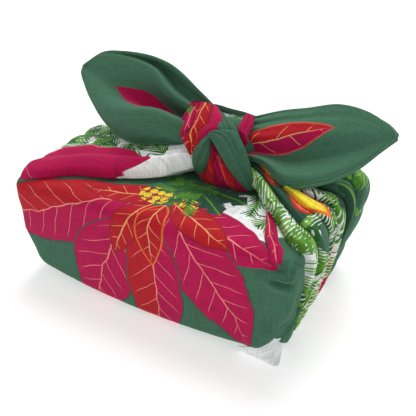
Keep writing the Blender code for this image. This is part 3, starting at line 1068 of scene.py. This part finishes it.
def ear_print(name, bracts, patches):
    """An ear: green, with bits of the print where its folds turn."""
    # The ground is the lighter copy of the cloth's green, with painted light for the lit ear
    c = Cotton(name, LIT_EAR_GREEN)
    for place in patches:
        c.paint(c.near(*place), MAGENTA)
    for one in bracts:
        c.bract(one)
    hem = c.place.node("SeparateXYZ", None, {0: c.place}, 2)
    row = abs(hem - HEM_WIDTH + STITCH_INSET).ramp(0.34, 0.16)
    dashes = abs(((c.u + c.v) / STITCH_LENGTH).part() - 0.5).ramp(0.42, 0.34)
    c.paint(row * dashes * 0.55, STITCH_THREAD)
    # A dark line painted along the hem's inner edge: painted shade where the thick hem steps down to the
    # single cloth
    c.paint(abs(hem - HEM_WIDTH).ramp(0.4, 0.1) * 0.5, DEEP_GREEN)
    return c.finish()


def turn_print():
    """The front turn of the knot: magenta, with a veined red bract down its middle."""
    c = Cotton("turn_print", MAGENTA)
    c.leaf(-8, 3, 0, 66, 12, 0.12, RED, rim=CRIMSON, vein=PALE_VEIN, pairs=6)
    c.leaf(-8, -9, 0, 60, 6, 0.1, MAGENTA, rim=DEEP_RED, vein=VEIN, pairs=4)
    c.paint(c.near(9, -14, 4, 5), FIR)
    return c.finish()


def fan_print():
    """The fan below the knot: magenta and red in folds."""
    c = Cotton("fan_print", MAGENTA)
    c.leaf(2, -4, -14, 52, 10, 0.0, RED, rim=CRIMSON, vein=CORAL, pairs=4)
    c.leaf(4, 6, 14, 50, 10, 0.0, MAGENTA, RED, rim=DEEP_RED, vein=CORAL, pairs=4)
    return c.finish()


def tuck_print():
    """The tuck at the front corner: the magenta of the bract that it folds."""
    c = Cotton("tuck_print", MAGENTA)
    c.leaf(-6, -3, 3, 72, 5, 0.0, MAGENTA, rim=None, vein=VEIN, pairs=5)
    return c.finish()


def fir_print():
    """The fold behind the knot: fir on white, with a green edge."""
    c = Cotton("fir_print", WHITE)
    c.fir_field(None, 20.0)
    c.paint(c.line(0, 1, 0).ramp(6.5, 7.5), DEEP_GREEN)
    return c.finish()


def plain_cotton(name, colour):
    return Cotton(name, colour).finish()


def floor_paint():
    made = bpy.data.materials.new("floor_white")
    made.use_nodes = True
    shader = made.node_tree.nodes["Principled BSDF"]
    shader.inputs["Base Color"].default_value = FLOOR_PAINT
    shader.inputs["Roughness"].default_value = 0.9
    shader.inputs["Emission Color"].default_value = (1, 1, 1, 1)
    shader.inputs["Emission Strength"].default_value = FLOOR_GLOW
    return made


# The camera, the light and the floor

def stage():
    scene = bpy.context.scene
    scene.view_settings.view_transform = "Standard"
    camera = bpy.data.objects.new("camera", bpy.data.cameras.new("camera"))
    scene.collection.objects.link(camera)
    azimuth, elevation = math.radians(CAMERA_AZIMUTH), math.radians(CAMERA_ELEVATION)
    back = Vector((
        math.sin(azimuth) * math.cos(elevation),
        -math.cos(azimuth) * math.cos(elevation),
        math.sin(elevation),
    ))
    camera.location = CAMERA_AIM + back * CAMERA_DISTANCE
    camera.rotation_euler = back.to_track_quat("Z", "Y").to_euler()
    camera.data.lens = CAMERA_LENS
    camera.data.clip_start = 0.01
    scene.camera = camera
    world = bpy.data.worlds.new("studio")
    world.use_nodes = True
    world.node_tree.nodes["Background"].inputs["Color"].default_value = (1, 1, 1, 1)
    world.node_tree.nodes["Background"].inputs["Strength"].default_value = SKY
    scene.world = world
    lamp = bpy.data.lights.new("overhead_softbox", "SUN")
    lamp.energy = OVERHEAD
    lamp.angle = math.radians(OVERHEAD_SOFTNESS)
    softbox = bpy.data.objects.new("overhead_softbox", lamp)
    softbox.rotation_euler = Vector(OVERHEAD_FROM).to_track_quat("Z", "Y").to_euler()
    scene.collection.objects.link(softbox)
    bm = bmesh.new()
    bmesh.ops.create_grid(bm, x_segments=1, y_segments=1, size=FLOOR_REACH)
    mesh = bpy.data.meshes.new("floor")
    bm.to_mesh(mesh)
    bm.free()
    floor = bpy.data.objects.new("floor", mesh)
    floor.location.z = -FLOOR_DROP
    mesh.materials.append(floor_paint())
    scene.collection.objects.link(floor)


BODY_CUTS = 60


def wrapped_parcel(cotton):
    """The cloth drawn round the parcel, as a hollow skin."""
    bm = bmesh.new()
    bmesh.ops.create_cube(bm, size=2)
    bmesh.ops.subdivide_edges(bm, edges=bm.edges, cuts=BODY_CUTS, use_grid_fill=True)
    bmesh.ops.recalc_face_normals(bm, faces=bm.faces)
    mesh = bpy.data.meshes.new("parcel_cloth")
    bm.to_mesh(mesh)
    bm.free()
    cube = np.array([v.co for v in mesh.vertices])
    q = np.sin(cube * math.pi / 2)
    points = parcel_skin(q, np.zeros(len(q)))
    mesh.vertices.foreach_set("co", (points * MM).ravel())
    mesh.update()
    keep_print(mesh, parcel_print(mesh, q))
    piece = finish_cloth(mesh, "parcel_cloth", cotton)
    thicken(piece, CLOTH_THICKNESS).offset = -1
    return piece


def parcel_print(mesh, q):
    """Where each corner of the parcel's faces lies on the print."""
    half = np.array([LENGTH, WIDTH, HEIGHT]) / 2
    places = np.zeros((len(mesh.loops), 2))
    for face in mesh.polygons:
        corners = q[list(face.vertices)]
        middle = corners.mean(axis=0)
        side = int(np.argmax(np.abs(middle)))
        x, y, z = (corners * half).T
        down = half[2] - z
        if side == 2 and middle[2] > 0:
            place = (x, y)
        elif side == 2:
            place = (x, -WIDTH / 2 - HEIGHT - half[1] - y)
        elif side == 1:
            place = (x, np.sign(middle[1]) * (half[1] + down))
        else:
            place = (np.sign(middle[0]) * (half[0] + half[1] + y), -half[1] - down)
        loops = list(face.loop_indices)
        places[loops] = np.stack(place, axis=-1)
    return places


def main():
    stage()
    green = plain_cotton("green_cotton", GREEN)
    magenta = plain_cotton("magenta_cotton", MAGENTA)
    flower = flower_print()
    white = plain_cotton("white_cotton", WHITE)
    wrapped_parcel(flower)
    front_panel(flower)
    foot_flap(white)
    band("left_band", LEFT_BAND, LEFT_PLEATS, -1, left_band_print())
    band("right_band", RIGHT_BAND, RIGHT_PLEATS, 1, right_band_print())
    knot_inside(green)
    strap("left_turn", DEEP_WRINKLES, turn_print())
    strap("right_turn", FINE_WRINKLES, green)
    strap("top_turn", FINE_WRINKLES, green)
    strap("small_loop", FINE_WRINKLES, green)
    strap("front_fan", FANNED_WRINKLES, fan_print())
    strap("rear_fold", FINE_WRINKLES, fir_print())
    strap("rear_roll", FINE_WRINKLES, magenta)
    strap("corner_tuck", TUCK_WRINKLES, tuck_print(), PARCEL_MIDDLE)
    left_bit = bract(24, 46, 3, 70, 9, 0.1, MAGENTA, vein=None)
    right_bit = bract(-16, 37, 13, 82, 15, 0.0, MAGENTA, RED, rim=CORAL, vein=PALE_VEIN, pairs=4)
    left_cotton = ear_print("left_ear_print", (left_bit,), ((0, 76, 12, 14),))
    right_cotton = ear_print("right_ear_print", (right_bit,), ((-4, 22, 20, 8),))
    ear("left_ear", LEFT_EAR, left_cotton)
    ear("right_ear", RIGHT_EAR, right_cotton)


main()
